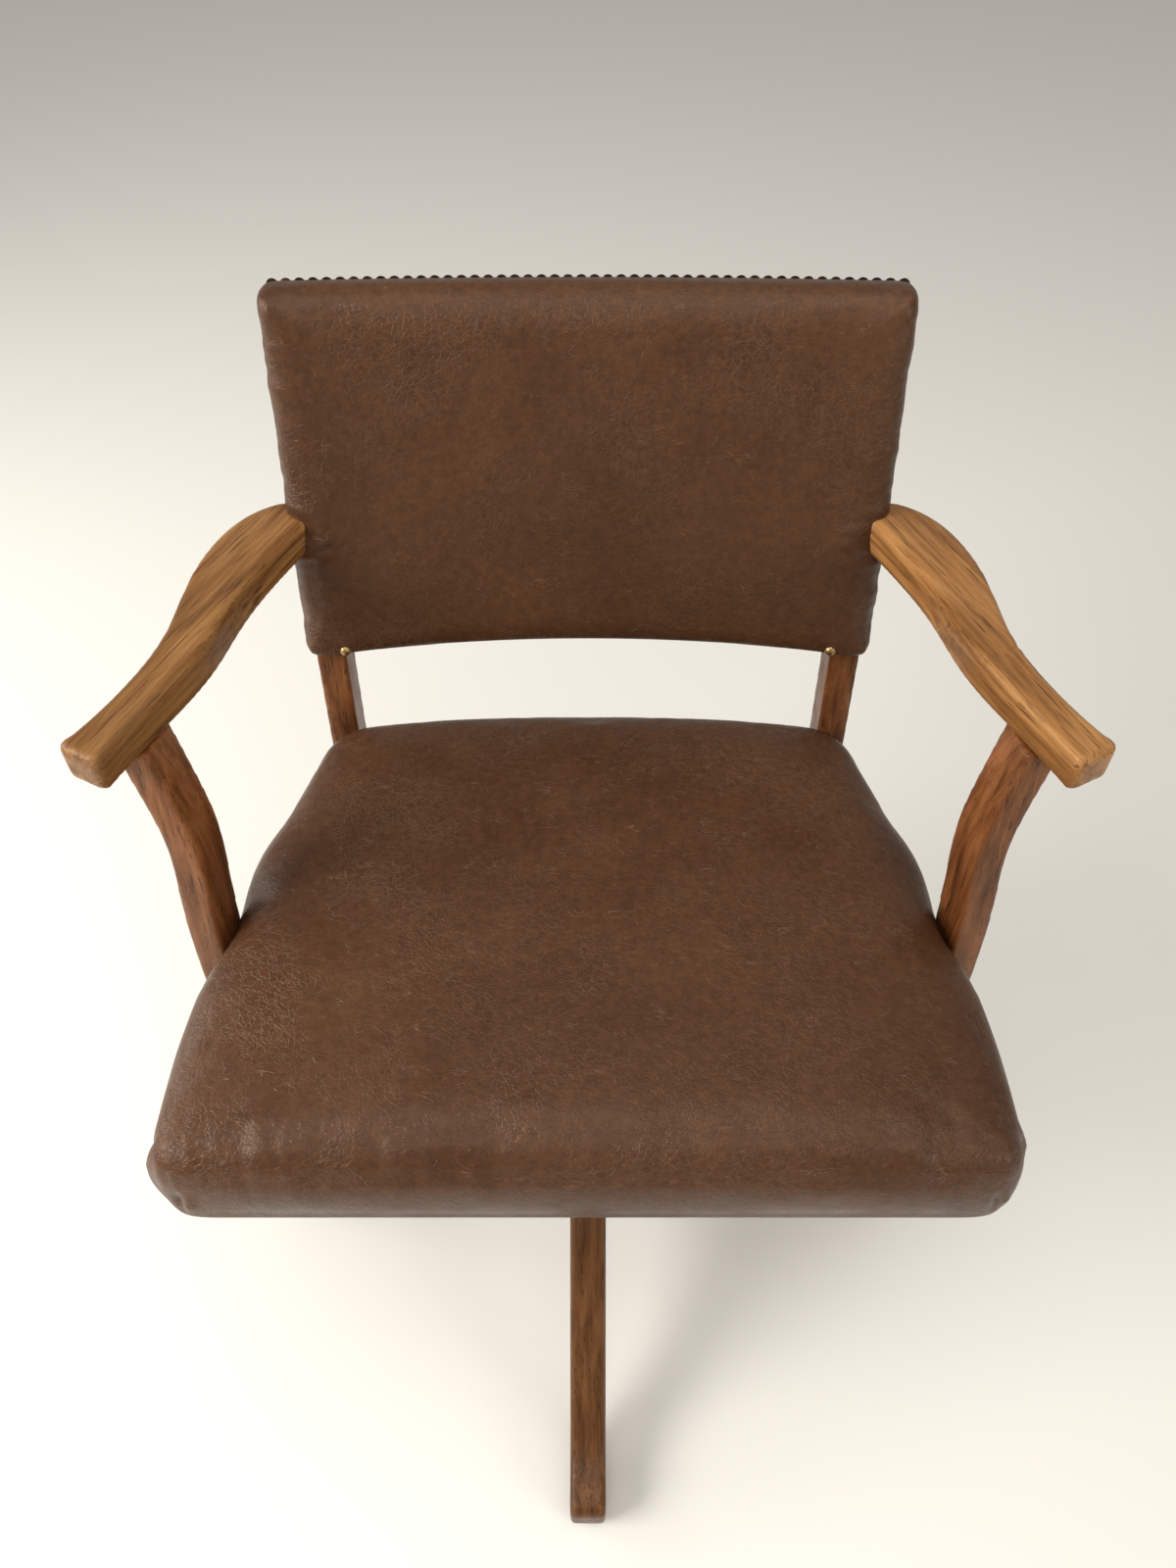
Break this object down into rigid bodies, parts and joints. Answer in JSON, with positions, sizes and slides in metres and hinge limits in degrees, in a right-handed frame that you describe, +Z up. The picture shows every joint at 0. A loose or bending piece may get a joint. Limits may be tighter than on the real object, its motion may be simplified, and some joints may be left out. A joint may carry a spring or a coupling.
{
  "type": "swivel office chair",
  "caption": "Oak desk armchair on a sabre-leg base with a screw column; leather seat and nailed back swivel, tilt on springs and rise.",
  "frame": {"origin": "centre of the footprint on the floor, under the screw column", "axes": "+Z up along the column, -Y towards the sitter's front, +X towards the viewer's right when seen from the front"},
  "size_m": [0.6302, 0.59, 0.8097],
  "materials": {
    "oak": "satin varnish",
    "oak_arms": "satin varnish",
    "beech": "bare",
    "leather": "satin, fine grain",
    "wadding": "fibrous",
    "webbing": "coarse weave",
    "black_cloth": "matt weave",
    "steel": "dull",
    "black_iron": "black enamel, worn",
    "bronze": "dull",
    "spring_steel": "oiled",
    "rubber": "matt",
    "bronze_nails": "dark patina",
    "brass_nails": "aged"
  },
  "bodies": {
    "base": {"hub": "oak", "leg_right": "oak", "leg_rear": "oak", "leg_left": "oak", "leg_front": "oak", "leg_dowels": "oak", "glides": "steel", "top_plate": "black_iron", "bottom_plate": "black_iron", "plate_screws": "steel", "guide_sleeve": "steel", "spindle_key": "steel", "base_washer": "bronze"},
    "handwheel": {"handwheel": "black_iron"},
    "spindle": {"spindle": "steel", "collar_washer": "bronze", "top_washer": "steel", "castle_nut": "steel"},
    "swivel_iron": {"swivel_iron": "black_iron", "swivel_bush": "bronze", "tilt_axle": "steel", "axle_washers": "steel", "axle_pins": "steel", "stop_buffer": "rubber"},
    "spring_bridge": {"spring_bridge": "black_iron", "tilt_spring_left": "spring_steel", "tilt_spring_right": "spring_steel"},
    "tension_knob": {"tension_screw": "steel", "tension_knob": "black_iron"},
    "seat": {"post_right": "oak_arms", "post_left": "oak_arms", "arm_right": "oak_arms", "arm_left": "oak_arms", "support_right": "oak_arms", "support_left": "oak_arms", "arm_dowels": "oak_arms", "seat_rail_front": "beech", "seat_rail_rear": "beech", "seat_rail_left": "beech", "seat_rail_right": "beech", "seat_bearers": "beech", "corner_blocks": "beech", "back_rail_top": "beech", "back_rail_bottom": "beech", "seat_cover": "leather", "back_cover": "leather", "outer_back": "leather", "seat_padding": "wadding", "back_padding": "wadding", "seat_webbing": "webbing", "back_hessian": "webbing", "dust_cover": "black_cloth", "cradle_screws": "steel", "support_bolts": "steel", "post_bolts": "steel", "arm_screws": "steel", "tilt_cradle": "black_iron", "rear_studs": "bronze_nails", "corner_studs": "brass_nails"}
  },
  "joints": [
    {"name": "seat_height", "type": "slide", "parent": "base", "child": "spindle", "axis": [0, 0, 1], "range_m": [0, 0.08]},
    {"name": "handwheel_turn", "type": "hinge", "parent": "base", "child": "handwheel", "pos_m": [0, 0, 0.25], "axis": [0, 0, 1], "range_deg": [0, 2881]},
    {"name": "swivel", "type": "hinge", "parent": "spindle", "child": "swivel_iron", "pos_m": [0, 0, 0.31], "axis": [0, 0, 1], "continuous": true},
    {"name": "tilt", "type": "hinge", "parent": "swivel_iron", "child": "seat", "pos_m": [0, 0, 0.372], "axis": [-1, 0, 0], "range_deg": [0, 15], "stiffness_Nm_per_rad": 160, "springref_deg": -11.46, "deforming": ["tilt_spring_left", "tilt_spring_right"]},
    {"name": "tension_travel", "type": "slide", "parent": "swivel_iron", "child": "spring_bridge", "axis": [0, 0, 1], "range_m": [0, 0.006], "deforming": ["tilt_spring_left", "tilt_spring_right"]},
    {"name": "tension_knob_turn", "type": "hinge", "parent": "swivel_iron", "child": "tension_knob", "pos_m": [0, 0.075, 0.28], "axis": [0, 0, 1], "range_deg": [0, 1081]}
  ],
  "couplings": [
    {"joint": "handwheel_turn", "follows": "seat_height", "rad_per_m": 628.32},
    {"joint": "tension_knob_turn", "follows": "tension_travel", "rad_per_m": 3141.6}
  ]
}
